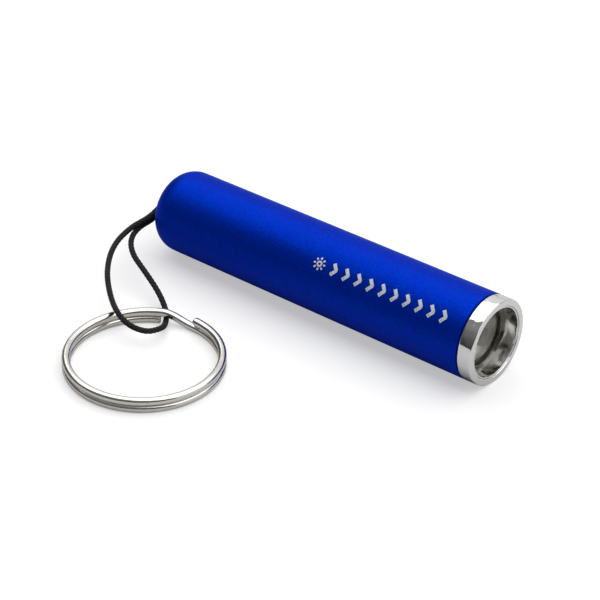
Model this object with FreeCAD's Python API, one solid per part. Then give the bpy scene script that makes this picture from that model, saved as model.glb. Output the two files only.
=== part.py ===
"""Keychain flashlight: an aluminium tube with a twist head, one slim cell, a cord loop and a split ring.

Millimetres. The torch lies on its side: +X runs out of the lens, +Z is up, and the origin is under
the middle of the torch, on the surface that it lies on.
"""
import FreeCAD, Part
import math
import os

# Torch
TORCH_LENGTH = 63.7
HEAD_RADIUS = 7.0
TAIL_RADIUS = 6.6
WALL = 1.15
AXIS_HEIGHT = HEAD_RADIUS
FRONT = TORCH_LENGTH / 2
TAIL = -TORCH_LENGTH / 2
TAIL_CORNER = 4.0
TAIL_CROWN = 16.0
TAIL_HOLE_RADIUS = 1.5
MOUTH_CHAMFER = 0.15

# Twist head: a bright band, a narrow seam, and a threaded skirt inside the tube
BAND_LENGTH = 2.5
SEAM = 0.25
RIM_INNER_RADIUS = 5.92
RIM_ROUND = 0.3
BAND_CHAMFER = 0.12
THREAD_RADIUS = 6.1
THREAD_CLEARANCE = 0.05
THREAD_PITCH = 0.75
QUARTER_TURN_TRAVEL = THREAD_PITCH / 4
SKIRT_LENGTH = 6.6
SKIRT_BORE = 5.3
SKIRT_CHAMFER = 0.2
GROUND_RING_THICKNESS = 0.25
GROUND_RING_INSET = 0.1
TIGHT_GAP = 0.01
O_RING_SECTION = 0.45
O_RING_PROUD = 0.02
GROOVE_LENGTH = 0.65
GROOVE_SETBACK = 1.6
RECESS_DEPTH = 2.6
RETAINER_THICKNESS = 0.4
RETAINER_CHAMFER = 0.15
RETAINER_OVERHANG = 0.1
BARREL_SETBACK = 0.15
BARREL_BACK_WALL = 0.4
BARREL_FRONT_WALL = 0.25
BARREL_CHAMFER = 0.1
PRESS_GAP = 0.04

# Lens and light engine
LENS_VISIBLE_RADIUS = 4.65
LENS_CAP_HEIGHT = 1.4
LENS_FLANGE = 1.25
LENS_FLANGE_RADIUS = 5.2
LENS_SEAL_SECTION = 0.35
LENS_SEAL_INSET = 0.3
LENS_HOLLOW_GAP = 0.35
SPACER_INNER_RADIUS = 3.2
BOARD_THICKNESS = 0.8
HOUSING_RADIUS = 5.25
HOUSING_WALL = 0.4
HOUSING_LENGTH = 5.2
HEAT_WALL = 0.8
LED_BOARD_RADIUS = 4.6
LED_SIZE = 3.45
LED_HEIGHT = 0.6
LED_DOME_RADIUS = 1.2
LED_GAP = 0.05
WIRE_RADIUS = 0.35
WIRE_HOLE_RADIUS = 0.5
WIRE_OFFSET = 2.2
DRIVER_SETBACK = 0.3
DRIVER_EDGE_GAP = 0.05
CONTACT_RADIUS = 1.6
CONTACT_THICKNESS = 0.55
CONTACT_GAP = 0.02

# On the driver board: height off the board, place across and up, and width and height on it
DRIVER_CHIP = (0.9, -1.2, -2.6, 1.6, 2.9)
DRIVER_DIODE = (1.0, 1.6, -2.6, 2.6, 1.4)
DRIVER_CAPACITOR = (0.8, -3.0, 2.0, 0.8, 1.6)
INDUCTOR_RADIUS = 1.4
INDUCTOR_HEIGHT = 1.7
INDUCTOR_UP = 2.4

# Slim cell of the AAA size
CELL_LENGTH = 44.5
CELL_RADIUS = 5.25
CELL_JACKET = 0.1
CAN_WALL = 0.25
CELL_CHAMFER = 0.6
SEAL_DEPTH = 0.5
SEAL_WIDTH = 0.6
NUB_RADIUS = 1.9
NUB_HEIGHT = 1.1
NUB_CHAMFER = 0.2
CAP_SETBACK = 0.2

# Tail spring
SPRING_WIRE = 0.6
SPRING_TURNS = 3.5
SPRING_TAIL_RADIUS = 3.9
SPRING_CELL_RADIUS = 3.0
SPRING_SEAT_INSET = 0.95
SPRING_SEAT_THICKNESS = 0.3
SPRING_SEAT_INNER = 2.7
SPRING_SEAT_OUTER = 4.3

# Cord and split ring
CORD_DIAMETER = 0.9
KNOT_RADIUS = 1.7
KNOT_LENGTH = 2.7
KNOT_ROUND = 0.72
RING_CENTRE = (-12.85, -29.5)
RING_RADIUS = 11.93
RING_WIRE_WIDTH = 1.3
RING_WIRE_HEIGHT = 1.2
RING_CORNER = 0.42
RING_LAYER_PITCH = 1.25
RING_JOGGLE_START = 115.0
RING_JOGGLE_TURN = 24.0
RING_END_GAP = 2.4
RING_JOGGLE_STATIONS = 7

# The loop's route from the upper strand at the knot, over the ring, round and back under it
CORD_ROUTE = [
    (-29.9, 0.0, 7.48),
    (-32.3, 0.0, 7.48),
    (-32.9, -1.5, 6.3),
    (-32.8, -4.1, 5.9),
    (-33.5, -7.8, 5.7),
    (-33.0, -12.7, 5.1),
    (-29.9, -18.0, 4.6),
    (-25.7, -22.3, 4.1),
    (-21.7, -25.3, 3.8),
    (-18.6, -26.1, 3.1),
    (-16.1, -25.0, 2.4),
    (-15.6, -22.2, 1.7),
    (-16.7, -19.7, 0.6),
    (-18.7, -16.9, 0.6),
    (-21.8, -15.0, 2.0),
    (-26.3, -13.2, 3.4),
    (-29.9, -11.7, 4.2),
    (-32.3, -9.3, 4.7),
    (-33.3, -6.2, 4.9),
    (-32.9, -3.1, 5.0),
    (-32.9, -1.3, 5.4),
    (-32.3, 0.0, 6.52),
    (-29.9, 0.0, 6.52),
]

# Stations along the torch, worked out from the sizes above
CROWN_REACH = math.sqrt((TAIL_CROWN - TAIL_CORNER) ** 2 - (TAIL_RADIUS - TAIL_CORNER) ** 2)
DOME_LENGTH = TAIL_CROWN - CROWN_REACH
BAND_BACK = FRONT - BAND_LENGTH
SHELL_FRONT = BAND_BACK - SEAM
SKIRT_BACK = BAND_BACK - SKIRT_LENGTH
SHOULDER = SKIRT_BACK - GROUND_RING_THICKNESS - QUARTER_TURN_TRAVEL - TIGHT_GAP
RECESS_FLOOR = FRONT - RECESS_DEPTH
SEAT = RECESS_FLOOR - RETAINER_THICKNESS
LENS_FRONT = SEAT - LENS_SEAL_SECTION
LENS_BACK = LENS_FRONT - LENS_FLANGE
LED_FRONT = LENS_BACK - LED_GAP
LED_BOARD_FRONT = LED_FRONT - LED_HEIGHT
LED_BOARD_BACK = LED_BOARD_FRONT - BOARD_THICKNESS
HOUSING_BACK = LED_BOARD_BACK - HOUSING_LENGTH
DRIVER_BACK = HOUSING_BACK + DRIVER_SETBACK
DRIVER_FRONT = DRIVER_BACK + BOARD_THICKNESS
CONTACT_BACK = DRIVER_BACK - CONTACT_THICKNESS
CELL_TIP = CONTACT_BACK - CONTACT_GAP
CELL_BACK = CELL_TIP - CELL_LENGTH
CELL_SHOULDER = CELL_TIP - NUB_HEIGHT
SPRING_SEAT_BACK = TAIL + WALL + SPRING_SEAT_INSET
SPRING_SEAT_FRONT = SPRING_SEAT_BACK + SPRING_SEAT_THICKNESS


def at(along, radius):
    """A point of the torch's outline: distance along the torch, and distance from its axis."""
    return FreeCAD.Vector(along, 0, AXIS_HEIGHT + radius)


def turned(start, *steps):
    """Turn a closed outline about the torch's axis. A step of two points is an arc through the first."""
    edges = []
    here = at(*start)
    for step in steps + (start,):
        if isinstance(step[0], tuple):
            there = at(*step[1])
            edges.append(Part.Arc(here, at(*step[0]), there).toShape())
        else:
            there = at(*step)
            if not there.isEqual(here, 1e-6):
                edges.append(Part.LineSegment(here, there).toShape())
        here = there
    face = Part.Face(Part.Wire(edges))
    return face.revolve(at(0, 0), FreeCAD.Vector(1, 0, 0), 360)


def ring(back, front, inner, outer):
    """A plain turned ring or, with an inner radius of zero, a disc."""
    return turned((back, inner), (back, outer), (front, outer), (front, inner))


def block(back, length, across, up, width, height):
    """A small box standing on a board: its middle is across and up from the axis."""
    corner = FreeCAD.Vector(back, across - width / 2, AXIS_HEIGHT + up - height / 2)
    return Part.makeBox(length, width, height, corner)


def on_arc(centre, radius, degrees):
    """A point on a circle of the outline plane, its angle measured back from straight outward."""
    angle = math.radians(degrees)
    return (centre[0] - radius * math.sin(angle), centre[1] + radius * math.cos(angle))


def tail_arcs(inset):
    """The rounded tail, set in from the outside: a corner arc, then a shallow crown to the axis."""
    corner = (TAIL + DOME_LENGTH, TAIL_RADIUS - TAIL_CORNER)
    crown = (corner[0] + CROWN_REACH, 0)
    meeting = 90 - math.degrees(math.asin(corner[1] / (TAIL_CROWN - TAIL_CORNER)))
    crown_radius = TAIL_CROWN - inset
    hole_angle = 90 - math.degrees(math.asin(TAIL_HOLE_RADIUS / crown_radius))
    corner_radius = TAIL_CORNER - inset
    return [
        (on_arc(corner, corner_radius, meeting / 2), on_arc(corner, corner_radius, meeting)),
        (on_arc(crown, crown_radius, (meeting + hole_angle) / 2), on_arc(crown, crown_radius, hole_angle)),
    ]


def body_shell():
    """Drawn tube: a slight taper outside, a closed round tail with the cord's hole, and a thread seat."""
    corner_start = TAIL + DOME_LENGTH
    bore = TAIL_RADIUS - WALL
    outside = tail_arcs(0)
    inside = tail_arcs(WALL)
    inner_corner_end = inside[0][1]
    thread_bore = THREAD_RADIUS + THREAD_CLEARANCE
    return turned(
        (SHELL_FRONT, thread_bore),
        (SHELL_FRONT, HEAD_RADIUS - MOUTH_CHAMFER),
        (SHELL_FRONT - MOUTH_CHAMFER, HEAD_RADIUS),
        (corner_start, TAIL_RADIUS),
        outside[0],
        outside[1],
        inside[1][1],
        (inside[1][0], inner_corner_end),
        (inside[0][0], (corner_start, bore)),
        (SHOULDER, bore),
        (SHOULDER, thread_bore),
    )


def bezel_ring():
    """Bright rim with a rounded edge, its band, and the skirt that screws into the tube."""
    middle = RIM_ROUND * (1 - math.sqrt(0.5))
    inner_round = RIM_ROUND / 2
    inner_middle = inner_round * (1 - math.sqrt(0.5))
    groove_front = BAND_BACK - GROOVE_SETBACK
    groove_back = groove_front - GROOVE_LENGTH
    groove_floor = THREAD_RADIUS + O_RING_PROUD - O_RING_SECTION
    return turned(
        (SEAT, RIM_INNER_RADIUS),
        (FRONT - inner_round, RIM_INNER_RADIUS),
        ((FRONT - inner_middle, RIM_INNER_RADIUS + inner_middle), (FRONT, RIM_INNER_RADIUS + inner_round)),
        (FRONT, HEAD_RADIUS - RIM_ROUND),
        ((FRONT - middle, HEAD_RADIUS - middle), (FRONT - RIM_ROUND, HEAD_RADIUS)),
        (BAND_BACK + BAND_CHAMFER, HEAD_RADIUS),
        (BAND_BACK, HEAD_RADIUS - BAND_CHAMFER),
        (BAND_BACK, THREAD_RADIUS),
        (groove_front, THREAD_RADIUS),
        (groove_front, groove_floor),
        (groove_back, groove_floor),
        (groove_back, THREAD_RADIUS),
        (SKIRT_BACK + SKIRT_CHAMFER, THREAD_RADIUS),
        (SKIRT_BACK, THREAD_RADIUS - SKIRT_CHAMFER),
        (SKIRT_BACK, SKIRT_BORE),
        (SEAT, SKIRT_BORE),
    )


def torus(along, radius, section):
    """An O-ring of round section, lying square to the torch's axis."""
    return Part.makeTorus(radius, section / 2, at(along, 0), FreeCAD.Vector(1, 0, 0))


def head_o_ring():
    """Rubber ring in the skirt's groove, which keeps water out and gives the twist its drag."""
    groove_middle = BAND_BACK - GROOVE_SETBACK - GROOVE_LENGTH / 2
    return torus(groove_middle, THREAD_RADIUS + O_RING_PROUD - O_RING_SECTION / 2, O_RING_SECTION)


def ground_ring():
    """Springy brass ring that meets the tube's shoulder only when the head is twisted tight."""
    back = SKIRT_BACK - GROUND_RING_THICKNESS
    return ring(back, SKIRT_BACK, SKIRT_BORE, THREAD_RADIUS - GROUND_RING_INSET)


def lens_barrel():
    """Thin polished sleeve that lines the recess in front of the lens, open a little towards the front."""
    outer = RIM_INNER_RADIUS - PRESS_GAP
    front = FRONT - BARREL_SETBACK
    return turned(
        (RECESS_FLOOR, outer - BARREL_BACK_WALL),
        (front - BARREL_CHAMFER, outer - BARREL_FRONT_WALL),
        (front, outer - BARREL_FRONT_WALL + BARREL_CHAMFER),
        (front, outer),
        (RECESS_FLOOR, outer),
    )


def lens_retainer():
    """Dark ring on the recess floor that holds the lens in."""
    inner = LENS_VISIBLE_RADIUS + RETAINER_OVERHANG
    outer = RIM_INNER_RADIUS - PRESS_GAP
    return turned(
        (SEAT, inner),
        (RECESS_FLOOR - RETAINER_CHAMFER, inner),
        (RECESS_FLOOR, inner + RETAINER_CHAMFER),
        (RECESS_FLOOR, outer),
        (SEAT, outer),
    )


def lens_seal():
    """Rubber ring squeezed between the lens flange and the retainer."""
    middle = LENS_FRONT + LENS_SEAL_SECTION / 2
    return torus(middle, LENS_FLANGE_RADIUS - LENS_SEAL_INSET, LENS_SEAL_SECTION)


def front_lens():
    """Clear domed lens with a flange, hollowed behind for the light source."""
    hollow = LED_DOME_RADIUS + LENS_HOLLOW_GAP
    cap_radius = (LENS_VISIBLE_RADIUS ** 2 + LENS_CAP_HEIGHT ** 2) / (2 * LENS_CAP_HEIGHT)
    tip = LENS_FRONT + LENS_CAP_HEIGHT
    cap_centre = tip - cap_radius
    half_angle = math.asin(LENS_VISIBLE_RADIUS / cap_radius) / 2
    cap_middle = (cap_centre + cap_radius * math.cos(half_angle), cap_radius * math.sin(half_angle))
    diagonal = hollow * math.sqrt(0.5)
    return turned(
        (LENS_BACK, hollow),
        (LENS_BACK, LENS_FLANGE_RADIUS),
        (LENS_FRONT, LENS_FLANGE_RADIUS),
        (LENS_FRONT, LENS_VISIBLE_RADIUS),
        (cap_middle, (tip, 0)),
        (LENS_BACK + hollow, 0),
        ((LENS_BACK + diagonal, diagonal), (LENS_BACK, hollow)),
    )


def lens_spacer():
    """White ring between the light board and the lens, which sets the focus."""
    return ring(LED_BOARD_FRONT, LENS_BACK, SPACER_INNER_RADIUS, LENS_FLANGE_RADIUS)


def led_board():
    """Aluminium-backed board that carries the light source."""
    return ring(LED_BOARD_BACK, LED_BOARD_FRONT, 0, LED_BOARD_RADIUS)


def led_package():
    """Square ceramic package of the light source."""
    return block(LED_BOARD_FRONT, LED_HEIGHT, 0, 0, LED_SIZE, LED_SIZE)


def led_dome():
    """Clear half-ball over the light source."""
    centre = at(LED_FRONT, 0)
    return Part.makeSphere(LED_DOME_RADIUS, centre, FreeCAD.Vector(1, 0, 0), 0, 90, 360)


def wire_between(back, front, side, radius):
    """A straight round rod beside the axis, used for a wire and for its hole."""
    start = FreeCAD.Vector(back, side * WIRE_OFFSET, AXIS_HEIGHT)
    return Part.makeCylinder(radius, front - back, start, FreeCAD.Vector(1, 0, 0))


def light_engine_housing():
    """Cup that carries both boards: its front wall takes the heat, with two holes for the wires."""
    inner = HOUSING_RADIUS - HOUSING_WALL
    wall_back = LED_BOARD_BACK - HEAT_WALL
    cup = turned(
        (HOUSING_BACK, inner),
        (HOUSING_BACK, HOUSING_RADIUS),
        (LED_BOARD_BACK, HOUSING_RADIUS),
        (LED_BOARD_BACK, 0),
        (wall_back, 0),
        (wall_back, inner),
    )
    for side in (-1, 1):
        cup = cup.cut(wire_between(wall_back, LED_BOARD_BACK, side, WIRE_HOLE_RADIUS))
    return cup


def led_wire(side):
    """Insulated wire from the driver board to the light board."""
    return wire_between(DRIVER_FRONT, LED_BOARD_BACK, side, WIRE_RADIUS)


def driver_board():
    """Round board that raises the single cell's voltage for the light source."""
    return ring(DRIVER_BACK, DRIVER_FRONT, 0, HOUSING_RADIUS - HOUSING_WALL - DRIVER_EDGE_GAP)


def driver_inductor():
    """Shielded inductor on the front of the driver board."""
    foot = FreeCAD.Vector(DRIVER_FRONT, 0, AXIS_HEIGHT + INDUCTOR_UP)
    return Part.makeCylinder(INDUCTOR_RADIUS, INDUCTOR_HEIGHT, foot, FreeCAD.Vector(1, 0, 0))


def contact_pad():
    """Brass pad behind the driver board that the cell's nub presses on."""
    return ring(CONTACT_BACK, DRIVER_BACK, 0, CONTACT_RADIUS)


def cell_can():
    """Steel can of the cell, whose flat end is the negative contact."""
    outer = CELL_RADIUS - CELL_JACKET
    inner = outer - CAN_WALL
    return turned(
        (CELL_BACK, 0),
        (CELL_BACK, outer - CELL_CHAMFER),
        (CELL_BACK + CELL_CHAMFER, outer),
        (CELL_SHOULDER, outer),
        (CELL_SHOULDER, inner),
        (CELL_BACK + CELL_CHAMFER, inner),
        (CELL_BACK + CAN_WALL, inner + CAN_WALL - CELL_CHAMFER),
        (CELL_BACK + CAN_WALL, 0),
    )


def cell_core():
    """The cell's packed electrodes, which fill the can up to its seal."""
    radius = CELL_RADIUS - CELL_JACKET - CAN_WALL
    return turned(
        (CELL_BACK + CAN_WALL, 0),
        (CELL_BACK + CAN_WALL, radius + CAN_WALL - CELL_CHAMFER),
        (CELL_BACK + CELL_CHAMFER, radius),
        (CELL_SHOULDER - SEAL_DEPTH, radius),
        (CELL_SHOULDER - SEAL_DEPTH, 0),
    )


def cell_jacket():
    """Printed plastic sleeve shrunk round the can and over its shoulders."""
    return ring(CELL_BACK + CELL_CHAMFER, CELL_SHOULDER, CELL_RADIUS - CELL_JACKET, CELL_RADIUS)


def cell_seal():
    """Nylon ring that keeps the positive cap apart from the can."""
    outer = CELL_RADIUS - CELL_JACKET - CAN_WALL
    return ring(CELL_SHOULDER - SEAL_DEPTH, CELL_SHOULDER, outer - SEAL_WIDTH, outer)


def cell_positive_cap():
    """Positive cap with its nub."""
    outer = CELL_RADIUS - CELL_JACKET - CAN_WALL - SEAL_WIDTH
    return turned(
        (CELL_SHOULDER - SEAL_DEPTH, 0),
        (CELL_SHOULDER - SEAL_DEPTH, outer),
        (CELL_SHOULDER - CAP_SETBACK, outer),
        (CELL_SHOULDER - CAP_SETBACK, NUB_RADIUS),
        (CELL_TIP - NUB_CHAMFER, NUB_RADIUS),
        (CELL_TIP, NUB_RADIUS - NUB_CHAMFER),
        (CELL_TIP, 0),
    )


def spring_seat():
    """Brass washer in the round tail that the spring stands on, open in the middle for the knot."""
    return ring(SPRING_SEAT_BACK, SPRING_SEAT_FRONT, SPRING_SEAT_INNER, SPRING_SEAT_OUTER)


def tail_spring():
    """Conical wire spring from its seat to the cell's flat end, swept a quarter turn at a time."""
    length = CELL_BACK - SPRING_SEAT_FRONT - SPRING_WIRE
    quarters = round(SPRING_TURNS * 4)
    narrowing = SPRING_CELL_RADIUS - SPRING_TAIL_RADIUS

    def place(share):
        radius = SPRING_TAIL_RADIUS + narrowing * share
        angle = 2 * math.pi * SPRING_TURNS * share
        along = SPRING_SEAT_FRONT + SPRING_WIRE / 2 + length * share
        return FreeCAD.Vector(along, radius * math.cos(angle), AXIS_HEIGHT + radius * math.sin(angle))

    def heading(share):
        step = 1e-4
        return place(share + step) - place(share - step)

    path = []
    for quarter in range(quarters):
        shares = [(quarter + step / 4) / quarters for step in range(5)]
        curve = Part.BSplineCurve()
        curve.interpolate(
            Points=[place(share) for share in shares],
            InitialTangent=heading(shares[0]),
            FinalTangent=heading(shares[-1]),
        )
        path.append(curve.toShape())
    section = Part.Wire(Part.makeCircle(SPRING_WIRE / 2, place(0), heading(0)))
    return Part.Wire(path).makePipeShell([section], True, True)


def cord_knot():
    """Knot of both cord ends, too big for the tail's hole."""
    outside = CORD_ROUTE[0][0]
    inside = outside + KNOT_LENGTH
    flat = KNOT_RADIUS - KNOT_ROUND
    bulge = KNOT_ROUND * (1 - math.sqrt(0.5))
    return turned(
        (outside, 0),
        (outside, flat),
        ((outside + bulge, KNOT_RADIUS - bulge), (outside + KNOT_ROUND, KNOT_RADIUS)),
        (inside - KNOT_ROUND, KNOT_RADIUS),
        ((inside - bulge, KNOT_RADIUS - bulge), (inside, flat)),
        (inside, 0),
    )


def cord_loop():
    """One length of round cord: straight runs joined by arcs as large as the shorter run allows."""
    points = [FreeCAD.Vector(*place) for place in CORD_ROUTE]
    edges = []
    radii = []
    here = points[0]
    for before, corner, after in zip(points, points[1:], points[2:]):
        arriving = (corner - before).normalize()
        leaving = (after - corner).normalize()
        turn = arriving.getAngle(leaving)
        trim = 0.45 * min((corner - before).Length, (after - corner).Length)
        arc_start = corner - arriving * trim
        arc_end = corner + leaving * trim
        radius = trim / math.tan(turn / 2)
        inward = (leaving - arriving).normalize()
        arc_middle = corner + inward * (radius / math.cos(turn / 2) - radius)
        edges.append(Part.LineSegment(here, arc_start).toShape())
        edges.append(Part.Arc(arc_start, arc_middle, arc_end).toShape())
        radii.append(round(radius, 1))
        here = arc_end
    edges.append(Part.LineSegment(here, points[-1]).toShape())
    path = Part.Wire(edges)
    section = Part.Wire(Part.makeCircle(CORD_DIAMETER / 2, points[0], points[1] - points[0]))
    tube = path.makePipeShell([section], True, False)
    expected = math.pi * (CORD_DIAMETER / 2) ** 2 * path.Length
    print("cord arc radii", radii)
    print("cord length", round(path.Length, 2), "volume ratio", round(tube.Volume / expected, 4))
    return tube


def ring_section(degrees, height):
    """Rounded flat section of the ring's wire at one angle round the ring."""
    half_width = RING_WIRE_WIDTH / 2
    half_height = RING_WIRE_HEIGHT / 2
    plate = Part.makePlane(
        RING_WIRE_WIDTH,
        RING_WIRE_HEIGHT,
        FreeCAD.Vector(RING_RADIUS - half_width, 0, height - half_height),
        FreeCAD.Vector(0, -1, 0),
        FreeCAD.Vector(1, 0, 0),
    )
    prism = plate.extrude(FreeCAD.Vector(0, 1, 0))
    upright = [edge for edge in prism.Edges if abs(edge.tangentAt(edge.FirstParameter).y) > 0.9]
    rounded = prism.makeFillet(RING_CORNER, upright)
    front = min(rounded.Faces, key=lambda face: face.CenterOfMass.y)
    section = Part.Face(front.OuterWire)
    section.rotate(FreeCAD.Vector(0, 0, 0), FreeCAD.Vector(0, 0, 1), degrees)
    return section


def split_ring():
    """Two turns of springy wire: the upper layer steps down past both cut ends into the lower one."""
    low = RING_WIRE_HEIGHT / 2
    high = low + RING_LAYER_PITCH
    layer_turn = 360 - RING_JOGGLE_TURN - RING_END_GAP
    up = FreeCAD.Vector(0, 0, 1)
    centre = FreeCAD.Vector(0, 0, 0)
    upper = ring_section(RING_JOGGLE_START, high).revolve(centre, up, layer_turn)
    joggle_end = RING_JOGGLE_START - RING_JOGGLE_TURN
    lower = ring_section(joggle_end, low).revolve(centre, up, -layer_turn)
    sections = []
    for index in range(RING_JOGGLE_STATIONS):
        share = index / (RING_JOGGLE_STATIONS - 1)
        eased = share * share * (3 - 2 * share)
        degrees = RING_JOGGLE_START - RING_JOGGLE_TURN * share
        sections.append(ring_section(degrees, high - RING_LAYER_PITCH * eased).OuterWire)
    joggle = Part.makeLoft(sections, True, False)
    whole = upper.fuse([joggle, lower])
    whole.translate(FreeCAD.Vector(RING_CENTRE[0], RING_CENTRE[1], 0))
    return whole


def parts():
    """Every node of the flashlight, by name."""
    return {
        "body_shell": body_shell(),
        "bezel_ring": bezel_ring(),
        "head_o_ring": head_o_ring(),
        "ground_ring": ground_ring(),
        "lens_barrel": lens_barrel(),
        "lens_retainer": lens_retainer(),
        "lens_seal": lens_seal(),
        "front_lens": front_lens(),
        "lens_spacer": lens_spacer(),
        "led_board": led_board(),
        "led_package": led_package(),
        "led_dome": led_dome(),
        "light_engine_housing": light_engine_housing(),
        "led_wire_positive": led_wire(1),
        "led_wire_negative": led_wire(-1),
        "driver_board": driver_board(),
        "driver_inductor": driver_inductor(),
        "driver_chip": block(DRIVER_FRONT, *DRIVER_CHIP),
        "driver_diode": block(DRIVER_FRONT, *DRIVER_DIODE),
        "driver_capacitor": block(DRIVER_FRONT, *DRIVER_CAPACITOR),
        "contact_pad": contact_pad(),
        "cell_can": cell_can(),
        "cell_core": cell_core(),
        "cell_jacket": cell_jacket(),
        "cell_seal": cell_seal(),
        "cell_positive_cap": cell_positive_cap(),
        "spring_seat": spring_seat(),
        "tail_spring": tail_spring(),
        "cord_loop": cord_loop(),
        "cord_knot": cord_knot(),
        "split_ring": split_ring(),
    }


os.makedirs("parts", exist_ok=True)
for name, shape in parts().items():
    shape.exportStep(f"parts/{name}.step")
    box = shape.BoundBox
    print(f"{name:22s} solids {len(shape.Solids)} valid {shape.isValid()} volume {shape.Volume:9.2f}", end=" ")
    print(f"x {box.XMin:.2f}..{box.XMax:.2f} y {box.YMin:.2f}..{box.YMax:.2f}", end=" ")
    print(f"z {box.ZMin:.2f}..{box.ZMax:.2f}")
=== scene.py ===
"""Keychain flashlight: the finished look of a slim torch with a twist head, a cord and a split ring."""
import bpy
import math
import numpy as np
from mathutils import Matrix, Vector


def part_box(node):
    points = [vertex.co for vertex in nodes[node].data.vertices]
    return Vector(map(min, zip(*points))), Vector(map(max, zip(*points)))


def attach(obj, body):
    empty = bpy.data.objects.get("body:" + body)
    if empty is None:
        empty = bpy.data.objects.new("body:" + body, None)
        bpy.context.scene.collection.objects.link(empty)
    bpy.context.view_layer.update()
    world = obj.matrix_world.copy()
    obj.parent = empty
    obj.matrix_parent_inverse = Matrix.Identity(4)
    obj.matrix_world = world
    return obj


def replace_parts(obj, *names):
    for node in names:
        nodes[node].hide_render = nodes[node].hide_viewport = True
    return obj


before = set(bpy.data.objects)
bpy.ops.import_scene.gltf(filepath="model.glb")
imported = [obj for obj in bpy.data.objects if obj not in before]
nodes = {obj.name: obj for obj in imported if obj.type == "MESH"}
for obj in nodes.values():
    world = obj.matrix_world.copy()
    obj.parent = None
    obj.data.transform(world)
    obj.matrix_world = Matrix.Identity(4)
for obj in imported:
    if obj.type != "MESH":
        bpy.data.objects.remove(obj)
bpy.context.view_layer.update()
MM = 0.001


# The tube: one drawn and turned aluminium tube with a closed round tail, a hole for the cord,
# a slight taper towards the tail and a thread in its mouth, blasted and anodised blue.
tube_low, tube_high = (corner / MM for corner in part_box("body_shell"))
axis_height = (tube_low.z + tube_high.z) / 2
tail = tube_low.x
mouth = tube_high.x
mouth_radius = (tube_high.z - tube_low.z) / 2
taper_drop = 0.4
tail_radius = mouth_radius - taper_drop
wall = 1.15
mouth_round = 0.15
mouth_chamfer = 0.2
corner_radius = 4.0
crown_radius = 16.0
hole_radius = 1.5
hole_round = 0.25
hole_draft = 0.02
hole_back_round = 0.2
thread_pitch = 0.75
thread_bore = 6.15
thread_fade = 0.4
bore_thread_depth = 0.28
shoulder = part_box("ground_ring")[0].x / MM - 0.2
inner_crown = crown_radius - wall
crown_reach = math.sqrt((crown_radius - corner_radius) ** 2 - (tail_radius - corner_radius) ** 2)
corner_place = (tail + crown_radius - crown_reach, tail_radius - corner_radius)
crown_place = (tail + crown_radius, 0)
corner_turn = 180 - math.degrees(math.asin(corner_place[1] / (crown_radius - corner_radius)))
lip_radius = hole_radius + hole_round
back_radius = hole_radius + hole_back_round
hole_turn = 180 - math.degrees(math.asin(lip_radius / crown_radius))
inner_hole_turn = 180 - math.degrees(math.asin(back_radius / inner_crown))
hole_lip = crown_place[0] - math.sqrt(crown_radius ** 2 - lip_radius ** 2)
hole_inside = crown_place[0] - math.sqrt(inner_crown ** 2 - back_radius ** 2)


def curve_piece(centre, radius, start, stop, count):
    """Arc of an outline: centre plus radius times the cosine and sine of an angle in degrees."""
    angle = np.radians(np.linspace(start, stop, count))
    return np.stack([centre[0] + radius * np.cos(angle), centre[1] + radius * np.sin(angle)], axis=1)


def straight(start, stop, count):
    """Evenly spaced points of an outline, from start up to but without stop."""
    share = np.arange(count)[:, None] / count
    return np.array(start) * (1 - share) + np.array(stop) * share


def skin(name, grid, joined):
    """Closed mesh through a grid of points in millimetres, whose columns run once round.
    Rows join end to end, or else a fan to the middle of the first and last row closes each end."""
    rows, columns = grid.shape[:2]
    index = np.arange(rows * columns).reshape(rows, columns)
    here = index if joined else index[:-1]
    onward = np.roll(index, -1, axis=0) if joined else index[1:]
    quads = np.stack([here, np.roll(here, -1, axis=1), np.roll(onward, -1, axis=1), onward], axis=-1)
    quads = quads.reshape(-1, 4)
    points = grid.reshape(-1, 3) * MM
    diagonal = np.cross(points[quads[:, 2]] - points[quads[:, 0]], points[quads[:, 3]] - points[quads[:, 1]])
    outward = np.sum(diagonal * points[quads].mean(axis=1)) > 0
    faces = quads.tolist()
    if not joined:
        first = rows * columns
        points = np.vstack([points, points[index[0]].mean(axis=0), points[index[-1]].mean(axis=0)])
        start_fan = np.stack([np.full(columns, first), np.roll(index[0], -1), index[0]], axis=1)
        end_fan = np.stack([np.full(columns, first + 1), index[-1], np.roll(index[-1], -1)], axis=1)
        faces += start_fan.tolist() + end_fan.tolist()
    mesh = bpy.data.meshes.new(name)
    mesh.from_pydata(points.tolist(), [], faces)
    if not outward:
        mesh.flip_normals()
    mesh.shade_smooth()
    mesh.set_sharp_from_angle(angle=math.radians(32))
    piece = bpy.data.objects.new(name, mesh)
    bpy.context.scene.collection.objects.link(piece)
    return piece


def turned(name, outline, joined=True, columns=192, depth=None):
    """Surface of revolution about the torch's axis: height and side are the radius times the cosine
    and sine of the angle. depth, a function of distance along and angle, is taken off the radius."""
    angle = np.linspace(0, 2 * np.pi, columns, endpoint=False)[None, :]
    along = outline[:, 0][:, None] + 0 * angle
    radius = outline[:, 1][:, None] + 0 * angle
    if depth is not None:
        radius = radius - depth(along, angle)
    grid = np.stack([along, radius * np.sin(angle), axis_height + radius * np.cos(angle)], axis=-1)
    return skin(name, grid, joined)


def thread_depth(begin, end, height):
    """Depth of a fine thread: a triangle wave, cut flat at its crest and root, of the distance along
    less the turn's share of one pitch, faded in and out at its ends. A height below nought cuts
    outward, into a bore."""
    def depth(along, angle):
        """The thread's depth at each distance along the axis and angle round it."""
        phase = (along / thread_pitch - angle / (2 * np.pi)) % 1.0
        groove = np.clip(1.5 * (1 - np.abs(2 * phase - 1)) - 0.2, 0, 1)
        fade_in = np.clip((along - begin) / thread_fade, 0, 1)
        fade_out = np.clip((end - along) / thread_fade, 0, 1)
        return height * groove * (fade_in * fade_out)
    return depth


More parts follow.
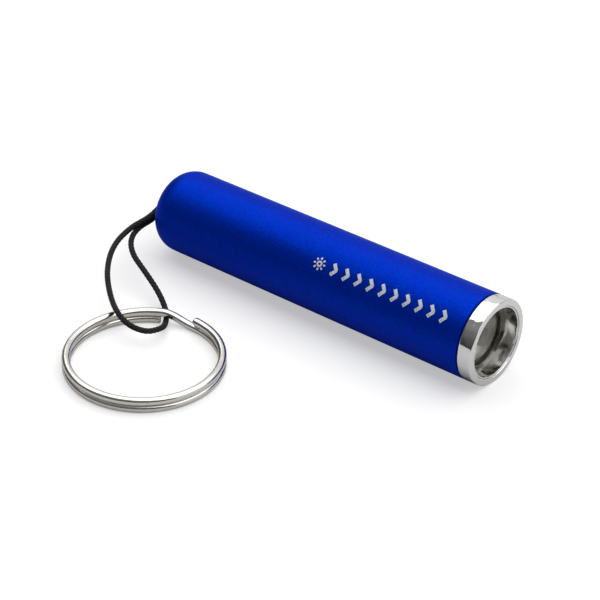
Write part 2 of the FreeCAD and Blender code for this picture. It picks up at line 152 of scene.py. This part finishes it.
def rows_at(outline, radius):
    """Mark the rows of an outline that lie at one radius, where a thread is cut."""
    return (np.abs(outline[:, 1] - radius) < 0.01)[:, None]


def grain_group():
    """Shader group for a worked surface. A fine noise of the stretched place gives the height and
    speckles the colour. A broad noise moves the roughness by the spread, as handling does, and adds
    waviness to the height, as polishing by hand does."""
    group = bpy.data.node_groups.new("surface grain", "ShaderNodeTree")
    sockets = [
        ("Place", "NodeSocketVector"), ("Stretch", "NodeSocketVector"), ("Fineness", "NodeSocketFloat"),
        ("Colour", "NodeSocketColor"), ("Speckle", "NodeSocketFloat"), ("Roughness", "NodeSocketFloat"),
        ("Spread", "NodeSocketFloat"), ("Waviness", "NodeSocketFloat"),
    ]
    for label, kind in sockets:
        group.interface.new_socket(label, in_out="INPUT", socket_type=kind)
    results = [
        ("Colour", "NodeSocketColor"), ("Roughness", "NodeSocketFloat"), ("Height", "NodeSocketFloat"),
    ]
    for label, kind in results:
        group.interface.new_socket(label, in_out="OUTPUT", socket_type=kind)
    add = group.nodes.new
    link = group.links.new
    entry = add("NodeGroupInput")
    result = add("NodeGroupOutput")
    fine = add("ShaderNodeTexNoise")
    fine.inputs["Detail"].default_value = 3.0
    fine.inputs["Roughness"].default_value = 0.65
    broad = add("ShaderNodeTexNoise")
    broad.inputs["Scale"].default_value = 420.0
    broad.inputs["Detail"].default_value = 1.0
    stretched = add("ShaderNodeVectorMath")
    stretched.operation = "MULTIPLY"
    link(entry.outputs["Place"], stretched.inputs[0])
    link(entry.outputs["Stretch"], stretched.inputs[1])
    link(stretched.outputs["Vector"], fine.inputs["Vector"])
    link(entry.outputs["Fineness"], fine.inputs["Scale"])
    link(entry.outputs["Place"], broad.inputs["Vector"])
    swing = add("ShaderNodeMapRange")
    swing.inputs["From Min"].default_value = 0.3
    swing.inputs["From Max"].default_value = 0.7
    swing.inputs["To Min"].default_value = -0.5
    swing.inputs["To Max"].default_value = 0.5
    link(broad.outputs["Fac"], swing.inputs["Value"])
    moved = add("ShaderNodeMath")
    moved.operation = "MULTIPLY_ADD"
    link(swing.outputs["Result"], moved.inputs[0])
    link(entry.outputs["Spread"], moved.inputs[1])
    link(entry.outputs["Roughness"], moved.inputs[2])
    link(moved.outputs["Value"], result.inputs["Roughness"])
    speck = add("ShaderNodeMapRange")
    speck.inputs["From Min"].default_value = 0.35
    speck.inputs["From Max"].default_value = 0.65
    link(fine.outputs["Fac"], speck.inputs["Value"])
    amount = add("ShaderNodeMath")
    amount.operation = "MULTIPLY"
    link(speck.outputs["Result"], amount.inputs[0])
    link(entry.outputs["Speckle"], amount.inputs[1])
    darker = add("ShaderNodeMix")
    darker.data_type = "RGBA"
    darker.blend_type = "MULTIPLY"
    darker.inputs[7].default_value = (0.25, 0.25, 0.25, 1)
    link(amount.outputs["Value"], darker.inputs[0])
    link(entry.outputs["Colour"], darker.inputs[6])
    link(darker.outputs[2], result.inputs["Colour"])
    relief = add("ShaderNodeMath")
    relief.operation = "MULTIPLY_ADD"
    link(broad.outputs["Fac"], relief.inputs[0])
    link(entry.outputs["Waviness"], relief.inputs[1])
    link(fine.outputs["Fac"], relief.inputs[2])
    link(relief.outputs["Value"], result.inputs["Height"])
    return group


grain = grain_group()


def finish(name, colour, roughness, metallic=0.0, fineness=6000.0, stretch=(1, 1, 1), speckle=0.15,
           spread=0.06, depth=0.002, waviness=0.0, more=None):
    """Material of one finish: the grain group on object coordinates, stretched along each axis,
    drives colour and roughness, and its height drives a shallow bump of that depth in millimetres."""
    material = bpy.data.materials.new(name)
    material.use_nodes = True
    tree = material.node_tree
    shader = tree.nodes["Principled BSDF"]
    place = tree.nodes.new("ShaderNodeTexCoord")
    surface = tree.nodes.new("ShaderNodeGroup")
    surface.node_tree = grain
    surface.inputs["Stretch"].default_value = stretch
    surface.inputs["Fineness"].default_value = fineness
    surface.inputs["Waviness"].default_value = waviness
    surface.inputs["Colour"].default_value = (*colour, 1)
    surface.inputs["Speckle"].default_value = speckle
    surface.inputs["Roughness"].default_value = roughness
    surface.inputs["Spread"].default_value = spread
    bump = tree.nodes.new("ShaderNodeBump")
    bump.inputs["Distance"].default_value = depth * MM
    link = tree.links.new
    link(place.outputs["Object"], surface.inputs["Place"])
    link(surface.outputs["Colour"], shader.inputs["Base Color"])
    link(surface.outputs["Roughness"], shader.inputs["Roughness"])
    link(surface.outputs["Height"], bump.inputs["Height"])
    link(bump.outputs["Normal"], shader.inputs["Normal"])
    shader.inputs["Metallic"].default_value = metallic
    for socket, value in (more or {}).items():
        shader.inputs[socket].default_value = value
    return material


def dress(piece, material):
    """Give a piece its only material."""
    piece.data.materials.clear()
    piece.data.materials.append(material)
    return piece


tube_outline = np.vstack([
    curve_piece((mouth - mouth_round, mouth_radius - mouth_round), mouth_round, 0, 90, 6),
    straight((mouth - mouth_round, mouth_radius), (corner_place[0], tail_radius), 40)[1:],
    curve_piece(corner_place, corner_radius, 90, corner_turn, 26),
    curve_piece(crown_place, crown_radius, corner_turn, hole_turn, 14)[1:],
    curve_piece((hole_lip + hole_round, lip_radius + hole_draft), hole_round, 180, 270, 8)[1:],
    curve_piece((hole_inside - hole_back_round, back_radius), hole_back_round, 270, 360, 5),
    curve_piece(crown_place, inner_crown, inner_hole_turn, corner_turn, 10)[1:],
    curve_piece(corner_place, corner_radius - wall, corner_turn, 90, 12)[1:],
    straight((corner_place[0], tail_radius - wall), (shoulder, tail_radius - wall), 20)[1:],
    straight((shoulder, tail_radius - wall), (shoulder, thread_bore), 3),
    straight((shoulder, thread_bore), (mouth - mouth_chamfer, thread_bore), 120),
    straight((mouth - mouth_chamfer, thread_bore), (mouth, thread_bore + mouth_chamfer), 2),
    straight((mouth, thread_bore + mouth_chamfer), (mouth, mouth_radius - mouth_round), 2),
])
bore_thread = thread_depth(shoulder + 0.6, mouth - 0.9, -bore_thread_depth)
bore_rows = rows_at(tube_outline, thread_bore)
tube = turned(
    "tube", tube_outline, depth=lambda along, angle: np.where(bore_rows, bore_thread(along, angle), 0)
)
anodised_blue = finish(
    "anodised blue", (0.0, 0.034, 0.58), 0.43, metallic=0.62, fineness=3600, speckle=0.5, spread=0.05,
    depth=0.04, more={"Specular Tint": (0.0, 0.45, 1.0, 1), "Specular IOR Level": 0.4, "IOR": 1.2},
)
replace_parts(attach(dress(tube, anodised_blue), "shell"), "body_shell")


# The marks on the tube: the anodising is burnt off by a laser in fine strokes, which leaves a pale
# silver sign for light and a row of arrow heads that point to the lens.
taper = (mouth_radius - tail_radius) / (mouth - corner_place[0])
mark_middle = math.radians(46)


def strokes(name, lines, width, proud):
    """Thin bars laid on the tube: a flat section carried along each line. A line is in millimetres
    along the tube and round it, and a bar is wrapped to the tube's taper, sunk as deep as it stands.
    The wrap mirrors the flat bar, so each face's corners run the other way round to point outward."""
    points = []
    faces = []
    for line in lines:
        line = np.array(line, float)
        heading = np.gradient(line, axis=0)
        heading /= np.linalg.norm(heading, axis=1)[:, None]
        across = np.stack([-heading[:, 1], heading[:, 0]], axis=1) * width / 2
        flat = np.stack([line + across, line - across, line - across, line + across], axis=1)
        lift = np.array([proud, proud, -proud, -proud])[None, :]
        radius = tail_radius + (flat[..., 0] - corner_place[0]) * taper + lift
        angle = mark_middle + flat[..., 1] / mouth_radius
        grid = np.stack(
            [flat[..., 0], -radius * np.sin(angle), axis_height + radius * np.cos(angle)], axis=-1
        )
        base = sum(len(block) for block in points)
        rows = len(line)
        index = base + np.arange(rows * 4).reshape(rows, 4)
        sides = np.stack(
            [index[:-1], index[1:], np.roll(index[1:], -1, 1), np.roll(index[:-1], -1, 1)], axis=-1
        )
        faces += sides.reshape(-1, 4).tolist() + [index[0].tolist(), index[-1][::-1].tolist()]
        points.append(grid.reshape(-1, 3) * MM)
    mesh = bpy.data.meshes.new(name)
    mesh.from_pydata(np.vstack(points).tolist(), [], faces)
    piece = bpy.data.objects.new(name, mesh)
    bpy.context.scene.collection.objects.link(piece)
    return piece


mark_proud = 0.012
sign_place = 1.9
sign_radius = 0.36
sign_width = 0.3
ray_ends = (0.70, 1.08)
ray_count = 8
turn = np.linspace(0, 2 * np.pi, 33)
sign_ring = np.stack([sign_place + sign_radius * np.cos(turn), sign_radius * np.sin(turn)], axis=1)
rays = [
    [(sign_place + reach * math.cos(ray), reach * math.sin(ray)) for reach in ray_ends]
    for ray in np.arange(ray_count) * 2 * math.pi / ray_count
]
arrow_width = 0.58
arrow_pitch = 2.3
arrow_count = 10
first_arrow = 5.1
arrow_line = np.array([
    (-0.75, -0.95), (-0.35, -0.45), (0, -0.02), (0, 0.02), (-0.35, 0.45), (-0.75, 0.95),
])
arrow_heads = [
    arrow_line + (place, 0) for place in first_arrow + arrow_pitch * np.arange(arrow_count)
]
marks = strokes("tube_marks", [sign_ring, *rays], sign_width, mark_proud)
arrows = strokes("tube_arrows", arrow_heads, arrow_width, mark_proud)
laser_silver = finish(
    "laser silver", (0.84, 0.87, 0.90), 0.5, metallic=0.3, fineness=1.0, stretch=(7000, 2500, 2500),
    speckle=0.35, spread=0.02, depth=0.004,
)
for mark in (marks, arrows):
    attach(dress(mark, laser_silver), "shell")


# The rim: the head's one turned piece, polished and chrome plated, with a plain band, a rounded
# front edge, a groove for the sealing ring and the fine thread that screws into the tube.
band_low, band_high = (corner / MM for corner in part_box("bezel_ring"))
front = band_high.x
skirt_back = band_low.x
band_length = 2.5
band_back = front - band_length
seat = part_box("lens_retainer")[0].x / MM
rim_inner = 5.92
skirt_bore = 5.3
thread_radius = 6.1
rim_round = 0.3
lip_round = 0.15
seam_round = 0.2
skirt_chamfer = 0.2
skirt_thread_depth = 0.3
groove_front = band_back - 1.6
groove_back = groove_front - 0.65
groove_floor = 5.67
rim_outline = np.vstack([
    straight((seat, rim_inner), (front - lip_round, rim_inner), 4),
    curve_piece((front - lip_round, rim_inner + lip_round), lip_round, -90, 0, 7),
    curve_piece((front - rim_round, mouth_radius - rim_round), rim_round, 0, 90, 12),
    straight((front - rim_round, mouth_radius), (band_back + seam_round, mouth_radius), 6)[1:],
    curve_piece((band_back + seam_round, mouth_radius - seam_round), seam_round, 90, 180, 6),
    straight((band_back, mouth_radius - seam_round), (band_back, thread_radius), 3)[1:],
    straight((band_back, thread_radius), (groove_front, thread_radius), 8),
    straight((groove_front, thread_radius), (groove_front, groove_floor), 3),
    straight((groove_front, groove_floor), (groove_back, groove_floor), 3),
    straight((groove_back, groove_floor), (groove_back, thread_radius), 3),
    straight((groove_back, thread_radius), (skirt_back + skirt_chamfer, thread_radius), 110),
    straight((skirt_back + skirt_chamfer, thread_radius), (skirt_back, thread_radius - skirt_chamfer), 2),
    straight((skirt_back, thread_radius - skirt_chamfer), (skirt_back, skirt_bore), 2),
    straight((skirt_back, skirt_bore), (seat, skirt_bore), 6),
    straight((seat, skirt_bore), (seat, rim_inner), 2),
])
skirt_thread = thread_depth(skirt_back + 0.1, groove_back - 0.1, skirt_thread_depth)
skirt_rows = rows_at(rim_outline, thread_radius)
rim = turned(
    "rim", rim_outline, depth=lambda along, angle: np.where(skirt_rows, skirt_thread(along, angle), 0)
)
chrome = finish(
    "polished chrome", (0.87, 0.865, 0.86), 0.08, metallic=1.0, fineness=1.0, stretch=(9000, 60, 60),
    speckle=0.05, spread=0.05, depth=0.0006, waviness=400.0,
)
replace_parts(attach(dress(rim, chrome), "head"), "bezel_ring")


# The sealing ring: a black rubber ring in the skirt's groove, greased and stretched into place.
seal_low, seal_high = (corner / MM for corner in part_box("head_o_ring"))
seal_section = (seal_high.x - seal_low.x) / 2
seal_middle = ((seal_low.x + seal_high.x) / 2, (seal_high.z - seal_low.z) / 2 - seal_section)
sealing_ring = turned("sealing_ring", curve_piece(seal_middle, seal_section, 0, 352.5, 48)[::2])
black_rubber = finish("black rubber", (0.012, 0.012, 0.013), 0.5, fineness=4000, speckle=0.3, spread=0.15)
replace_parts(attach(dress(sealing_ring, black_rubber), "head"), "head_o_ring")
dress(nodes["lens_seal"], black_rubber)


# The lamp: a light source on its board, in an aluminium cup behind the lens, wired to the driver
# board, with a brass ring and pad for the two contacts. These small bought and turned parts keep
# their plain shapes.
board_white = finish("white board", (0.72, 0.72, 0.68), 0.45, fineness=3000, speckle=0.08)
board_green = finish("green board", (0.02, 0.16, 0.06), 0.35, fineness=2500, speckle=0.2)
ceramic = finish("ceramic", (0.62, 0.54, 0.36), 0.5, fineness=9000, speckle=0.12)
turned_aluminium = finish(
    "turned aluminium", (0.62, 0.62, 0.63), 0.28, metallic=1.0, fineness=1.0, stretch=(9000, 60, 60),
    depth=0.003,
)
brass = finish(
    "brass", (0.70, 0.50, 0.20), 0.24, metallic=1.0, fineness=1.0, stretch=(6000, 400, 400), depth=0.002
)
red_insulation = finish("red insulation", (0.45, 0.02, 0.015), 0.38, fineness=2500)
black_insulation = finish("black insulation", (0.015, 0.015, 0.016), 0.38, fineness=2500)
ferrite = finish("ferrite", (0.07, 0.07, 0.075), 0.55, fineness=9000, speckle=0.4, depth=0.006)
chip_black = finish("moulded black", (0.02, 0.02, 0.022), 0.48, fineness=9000, speckle=0.25, depth=0.005)
lamp_finishes = {
    "led_board": board_white, "led_package": ceramic, "light_engine_housing": turned_aluminium,
    "ground_ring": brass, "contact_pad": brass, "driver_board": board_green,
    "led_wire_positive": red_insulation, "led_wire_negative": black_insulation,
    "driver_inductor": ferrite, "driver_chip": chip_black, "driver_diode": chip_black,
    "driver_capacitor": ceramic,
}
for node, material in lamp_finishes.items():
    dress(nodes[node], material)


# The lens: one moulded clear piece with a flange and a domed face, hollowed over the light source,
# which has its own small clear dome. A pale spacer ring sets the distance between them.
lens_low, lens_high = (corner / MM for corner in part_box("front_lens"))
lens_back = lens_low.x
lens_tip = lens_high.x
flange_radius = (lens_high.z - lens_low.z) / 2
flange_front = lens_back + 1.25
flange_round = 0.1
face_radius = 4.65
cap_height = lens_tip - flange_front
cap_radius = (face_radius ** 2 + cap_height ** 2) / (2 * cap_height)
cap_turn = math.degrees(math.asin(face_radius / cap_radius))
hollow_radius = 1.55
lens_outline = np.vstack([
    curve_piece((lens_tip - cap_radius, 0), cap_radius, 1.0, cap_turn, 24),
    straight((flange_front, face_radius), (flange_front, flange_radius - flange_round), 4)[1:],
    curve_piece((flange_front - flange_round, flange_radius - flange_round), flange_round, 0, 90, 4),
    straight((flange_front - flange_round, flange_radius), (lens_back, flange_radius), 3)[1:],
    straight((lens_back, flange_radius), (lens_back, hollow_radius), 8),
    curve_piece((lens_back, 0), hollow_radius, 90, 4, 12),
])
lens = turned("lens", lens_outline, joined=False)
clear_moulding = finish(
    "clear moulding", (0.93, 0.92, 0.87), 0.33, fineness=3000, speckle=0.02, spread=0.06, depth=0.0006,
    more={"Transmission Weight": 1.0, "IOR": 1.49},
)
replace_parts(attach(dress(lens, clear_moulding), "head"), "front_lens")
dress(nodes["led_dome"], clear_moulding)
spacer_white = finish("spacer white", (0.55, 0.53, 0.44), 0.5, fineness=3000, speckle=0.1)
dress(nodes["lens_spacer"], spacer_white)


# The front fittings: a dark ring pressed on the recess floor holds the lens, and a thin polished
# sleeve lines the recess in front of it.
retainer_low, retainer_high = (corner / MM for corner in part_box("lens_retainer"))
retainer_outer = (retainer_high.z - retainer_low.z) / 2
retainer_inner = 4.75
retainer_round = 0.15
round_back = retainer_high.x - retainer_round
round_top = retainer_inner + retainer_round
retainer_outline = np.vstack([
    straight((retainer_low.x, retainer_inner), (round_back, retainer_inner), 3),
    curve_piece((round_back, round_top), retainer_round, -90, 0, 6),
    straight((retainer_high.x, round_top), (retainer_high.x, retainer_outer), 6)[1:],
    straight((retainer_high.x, retainer_outer), (retainer_low.x, retainer_outer), 3),
    straight((retainer_low.x, retainer_outer), (retainer_low.x, retainer_inner), 6),
])
retainer = turned("lens_ring", retainer_outline)
dark_plating = finish(
    "dark plating", (0.13, 0.12, 0.105), 0.2, metallic=0.85, fineness=1.0, stretch=(9000, 60, 60),
    spread=0.08,
)
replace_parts(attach(dress(retainer, dark_plating), "head"), "lens_retainer")

sleeve_low, sleeve_high = (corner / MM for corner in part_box("lens_barrel"))
sleeve_outer = (sleeve_high.z - sleeve_low.z) / 2
back_wall = 0.4
front_wall = 0.25
inner_round = 0.08
outer_round = 0.05
inner_round_back = sleeve_high.x - inner_round
outer_round_back = sleeve_high.x - outer_round
sleeve_outline = np.vstack([
    straight((sleeve_low.x, sleeve_outer - back_wall), (inner_round_back, sleeve_outer - front_wall), 8),
    curve_piece((inner_round_back, sleeve_outer - front_wall + inner_round), inner_round, -90, 0, 5),
    curve_piece((outer_round_back, sleeve_outer - outer_round), outer_round, 0, 90, 4),
    straight((outer_round_back, sleeve_outer), (sleeve_low.x, sleeve_outer), 6)[1:],
    straight((sleeve_low.x, sleeve_outer), (sleeve_low.x, sleeve_outer - back_wall), 2),
])
sleeve = turned("recess_sleeve", sleeve_outline)
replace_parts(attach(dress(sleeve, chrome), "head"), "lens_barrel")


# The cell: a slim steel can in a printed plastic sleeve, with a nylon seal and a nickel plated cap.
# A brass washer and a wire spring in the tail press it forward.
cell_steel = finish(
    "nickel plated steel", (0.66, 0.65, 0.63), 0.22, metallic=1.0, fineness=1.0, stretch=(5000, 300, 300)
)
sleeve_film = finish("printed film", (0.03, 0.16, 0.20), 0.25, fineness=1200, speckle=0.08)
electrode_paste = finish("packed powder", (0.05, 0.05, 0.05), 0.8, fineness=7000, speckle=0.5, depth=0.02)
nylon = finish("nylon", (0.75, 0.74, 0.70), 0.45, fineness=3000, speckle=0.06)
spring_steel = finish("spring steel", (0.55, 0.55, 0.56), 0.25, metallic=1.0, fineness=5000)
cell_finishes = {
    "cell_can": cell_steel, "cell_positive_cap": cell_steel, "cell_jacket": sleeve_film,
    "cell_core": electrode_paste, "cell_seal": nylon, "spring_seat": brass, "tail_spring": spring_steel,
}
for node, material in cell_finishes.items():
    dress(nodes[node], material)


# The split ring: two turns of flat, rounded spring wire, nickel plated. The upper turn steps down
# past both cut ends into the lower one, so that a key can be threaded on.
def carried(centres, side, up, section):
    """A section carried along a path: each centre plus the section's two sizes along side and up."""
    return centres[:, None, :] + section[..., 0:1] * side[:, None, :] + section[..., 1:2] * up[:, None, :]


ring_low, ring_high = (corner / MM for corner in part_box("split_ring"))
wire_width = 1.3
wire_height = 1.2
wire_corner = 0.52
wire_rows = 700
ring_centre = (ring_low + ring_high) / 2
ring_radius = (ring_high.x - ring_low.x) / 2 - wire_width / 2
layer_pitch = ring_high.z - ring_low.z - wire_height
step_start = 115.0
step_turn = 24.0
end_gap = 2.4
layer_turn = 360 - step_turn - end_gap
degrees = np.linspace(step_start + layer_turn, step_start - step_turn - layer_turn, wire_rows)
share = np.clip((step_start - degrees) / step_turn, 0, 1)
height = ring_high.z - wire_height / 2 - layer_pitch * share ** 2 * (3 - 2 * share)
outward = np.stack([np.cos(np.radians(degrees)), np.sin(np.radians(degrees)), 0 * degrees], axis=1)
centres = outward * ring_radius + np.array([ring_centre.x, ring_centre.y, 0])
centres[:, 2] = height
corner_side = wire_width / 2 - wire_corner
corner_up = wire_height / 2 - wire_corner
wire_section = np.vstack([
    curve_piece((corner_side, corner_up), wire_corner, 0, 90, 8),
    curve_piece((-corner_side, corner_up), wire_corner, 90, 180, 8),
    curve_piece((-corner_side, -corner_up), wire_corner, 180, 270, 8),
    curve_piece((corner_side, -corner_up), wire_corner, 270, 360, 8),
])[None, :, :]
swell = np.ones((wire_rows, 1, 1))
swell[[0, -1]] = 0.93
wire_grid = carried(centres, outward, np.tile([0.0, 0.0, 1.0], (wire_rows, 1)), wire_section * swell)
split_ring = skin("key_ring", wire_grid, joined=False)
nickel = finish(
    "polished nickel", (0.78, 0.755, 0.71), 0.13, metallic=1.0, fineness=2600, speckle=0.10, spread=0.08,
    depth=0.002, waviness=6.0,
)
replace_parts(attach(dress(split_ring, nickel), "key_ring"), "split_ring")


# The cord: one length of fine braided black cord, passed over the split ring and doubled, with both
# ends tied in a knot inside the tail that is too big for the tail's hole.
cord_diameter = 0.9
braid_pitch = 1.5
braid_helices = 3
braid_root = 0.78
braid_rise = 0.28
cord_route = [
    (-29.9, 0.0, 7.48), (-32.3, 0.0, 7.48), (-32.9, -1.5, 6.3), (-32.8, -4.1, 5.9), (-33.5, -7.8, 5.7),
    (-33.0, -12.7, 5.1), (-29.9, -18.0, 4.6), (-25.7, -22.3, 4.1), (-21.7, -25.3, 3.8), (-18.6, -26.1, 3.1),
    (-16.1, -25.0, 2.4), (-15.6, -22.2, 1.7), (-16.7, -19.7, 0.6), (-18.7, -16.9, 0.6), (-21.8, -15.0, 2.0),
    (-26.3, -13.2, 3.4), (-29.9, -11.7, 4.2), (-32.3, -9.3, 4.7), (-33.3, -6.2, 4.9), (-32.9, -3.1, 5.0),
    (-32.9, -1.3, 5.4), (-32.3, 0.0, 6.52), (-29.9, 0.0, 6.52),
]
line = bpy.data.curves.new("cord line", "CURVE")
line.dimensions = "3D"
spline = line.splines.new("NURBS")
spline.points.add(len(cord_route) - 1)
for point, place in zip(spline.points, cord_route):
    point.co = (place[0] * MM, place[1] * MM, place[2] * MM, 1)
spline.order_u = 3
spline.use_endpoint_u = True
spline.resolution_u = 24
line_object = bpy.data.objects.new("cord line", line)
line_mesh = bpy.data.meshes.new_from_object(line_object)
line_points = np.empty(3 * len(line_mesh.vertices))
line_mesh.vertices.foreach_get("co", line_points)
line_points = line_points.reshape(-1, 3) / MM
bpy.data.objects.remove(line_object)
bpy.data.meshes.remove(line_mesh)


def evenly(points, count):
    """Points at equal distances along a line, and the running length at each."""
    run = np.concatenate([[0], np.cumsum(np.linalg.norm(np.diff(points, axis=0), axis=1))])
    wanted = np.linspace(0, run[-1], count)
    return np.stack([np.interp(wanted, run, points[:, axis]) for axis in range(3)], axis=1), wanted


def lay_valley_shade_mask(piece, crossing):
    """Keep on each vertex how near it is to the crown of a strand, from 0 to 1, as the mask of painted shade
    that darkens the colour in the valleys between strands.
    """
    crowns = piece.data.attributes.new("strand", "FLOAT", "POINT")
    ends = [crossing[0].mean(), crossing[-1].mean()]
    crowns.data.foreach_set("value", np.append(crossing.ravel(), ends))


def braid(name, points, diameter, columns=48, spacing=0.066):
    """Braided tube: the radius is a root share plus a rise times the square root of the product of
    two cosines, of helices that cross, which leaves a diamond for each strand on top."""
    length = np.linalg.norm(np.diff(points, axis=0), axis=1).sum()
    path, run = evenly(points, int(length / spacing))
    heading = np.gradient(path, axis=0)
    heading /= np.linalg.norm(heading, axis=1)[:, None]
    side = np.cross(heading, np.array([0.0, 0.0, 1.0]))
    side /= np.linalg.norm(side, axis=1)[:, None]
    up = np.cross(side, heading)
    angle = np.linspace(0, 2 * np.pi, columns, endpoint=False)[None, :]
    climb = 2 * np.pi * run[:, None] / braid_pitch
    crossing = np.abs(np.cos(braid_helices * angle + climb) * np.cos(braid_helices * angle - climb))
    radius = diameter / 2 * (braid_root + braid_rise * np.sqrt(crossing))
    section = np.stack([radius * np.cos(angle), radius * np.sin(angle)], axis=-1)
    piece = skin(name, carried(path, side, up, section), joined=False)
    lay_valley_shade_mask(piece, crossing)
    return piece, length


cord, cord_length = braid("cord", line_points, cord_diameter)
black_cord = finish(
    "black braid", (0.050, 0.048, 0.052), 0.4, fineness=2600, speckle=0.6, spread=0.1, depth=0.03,
    more={"Specular IOR Level": 0.15},
)
# Painted shade: the strand attribute mixes the base colour towards near black in the valleys between
# strands, and leaves the cord's own colour on the crowns.
cord_nodes = black_cord.node_tree.nodes
cord_links = black_cord.node_tree.links
strand_crown = cord_nodes.new("ShaderNodeAttribute")
strand_crown.attribute_name = "strand"
valley_shade_mix = cord_nodes.new("ShaderNodeMix")
valley_shade_mix.data_type = "RGBA"
valley_shade_mix.inputs[6].default_value = (0.001, 0.001, 0.001, 1)
cord_links.new(strand_crown.outputs["Fac"], valley_shade_mix.inputs[0])
cord_links.new(cord_nodes["Group"].outputs["Colour"], valley_shade_mix.inputs[7])
cord_links.new(valley_shade_mix.outputs[2], cord_nodes["Principled BSDF"].inputs["Base Color"])
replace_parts(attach(dress(cord, black_cord), "cord"), "cord_loop")

knot_low, knot_high = (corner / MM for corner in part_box("cord_knot"))
knot_radius = (knot_high.z - knot_low.z) / 2
knot_share = np.linspace(0.02, 0.98, 60)[:, None]
knot_angle = np.linspace(0, 2 * np.pi, 96, endpoint=False)[None, :]
knot_round = np.sqrt(1 - np.abs(2 * knot_share - 1) ** 4)
knot_strands = 1 - 0.10 * np.abs(np.sin(1.5 * knot_angle + 7 * knot_share))
knot_spread = knot_radius * knot_round * knot_strands
knot_grid = np.stack([
    knot_low.x + (knot_high.x - knot_low.x) * knot_share + 0 * knot_angle,
    knot_spread * np.sin(knot_angle),
    axis_height + knot_spread * np.cos(knot_angle),
], axis=-1)
knot = skin("cord_end_knot", knot_grid, joined=False)
# Painted shade: the knot's strand ridges are its mask too, so its base colour is a little darker in the
# grooves.
lay_valley_shade_mask(knot, knot_strands)
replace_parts(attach(dress(knot, black_cord), "cord"), "cord_knot")


# The table, the light and the camera: a plain white table under broad soft lights from above and
# behind, with a weak one at the side, in a dim room that is darkest along the floor.
table_mesh = bpy.data.meshes.new("table")
table_mesh.from_pydata([(-3, -3, 0), (3, -3, 0), (3, 3, 0), (-3, 3, 0)], [], [(0, 1, 2, 3)])
table = bpy.data.objects.new("table", table_mesh)
bpy.context.scene.collection.objects.link(table)
table_white = finish(
    "table white", (0.62, 0.62, 0.62), 0.7, fineness=40, speckle=0.01, spread=0.05, depth=0.01
)
table_shader = table_white.node_tree.nodes["Principled BSDF"]
rays_seen = table_white.node_tree.nodes.new("ShaderNodeLightPath")
lit_through = table_white.node_tree.nodes.new("ShaderNodeMath")
lit_through.operation = "MULTIPLY"
lit_through.inputs[1].default_value = 0.46
table_white.node_tree.links.new(rays_seen.outputs["Is Camera Ray"], lit_through.inputs[0])
table_white.node_tree.links.new(lit_through.outputs["Value"], table_shader.inputs["Emission Strength"])
table_shader.inputs["Emission Color"].default_value = (1, 1, 1, 1)
dress(table, table_white)


def soft_light(name, place, aim, size, power):
    """A square light of that size in metres at place, turned to face aim."""
    lamp = bpy.data.lights.new(name, "AREA")
    lamp.shape = "RECTANGLE"
    lamp.size, lamp.size_y = size
    lamp.energy = power
    holder = bpy.data.objects.new(name, lamp)
    holder.location = place
    holder.rotation_euler = (Vector(place) - Vector(aim)).to_track_quat("Z", "Y").to_euler()
    bpy.context.scene.collection.objects.link(holder)


soft_light("top light", (0.0, 0.25, 0.9), (0, 0.25, 0), (2.0, 1.25), 12)
soft_light("back light", (-0.3, 1.4, 0.75), (0, 0, 0.2), (3.0, 1.5), 9)
soft_light("side light", (1.0, 0.35, 0.45), (0, 0, 0), (1.3, 1.1), 3.2)
world = bpy.data.worlds.new("room")
world.use_nodes = True
room = world.node_tree
direction = room.nodes.new("ShaderNodeTexCoord")
rise = room.nodes.new("ShaderNodeSeparateXYZ")
brighter = room.nodes.new("ShaderNodeMapRange")
brighter.inputs["From Max"].default_value = 0.8
brighter.inputs["To Min"].default_value = 0.02
brighter.inputs["To Max"].default_value = 0.22
room.links.new(direction.outputs["Generated"], rise.inputs["Vector"])
room.links.new(rise.outputs["Z"], brighter.inputs["Value"])
room.links.new(brighter.outputs["Result"], room.nodes["Background"].inputs["Strength"])
room.nodes["Background"].inputs["Color"].default_value = (1, 1, 1, 1)
bpy.context.scene.world = world
bpy.context.scene.view_settings.view_transform = "Standard"

camera_data = bpy.data.cameras.new("camera")
camera_data.lens = 235.2
camera_data.sensor_width = 36
camera = bpy.data.objects.new("camera", camera_data)
camera_turn = math.radians(37.65)
camera_rise = math.radians(34.25)
back = Vector((
    math.sin(camera_turn) * math.cos(camera_rise),
    -math.cos(camera_turn) * math.cos(camera_rise),
    math.sin(camera_rise),
))
camera.location = Vector((1.32, -9.04, 7.0)) * MM + back * 0.6
camera.rotation_euler = back.to_track_quat("Z", "Y").to_euler()
bpy.context.scene.collection.objects.link(camera)
bpy.context.scene.camera = camera
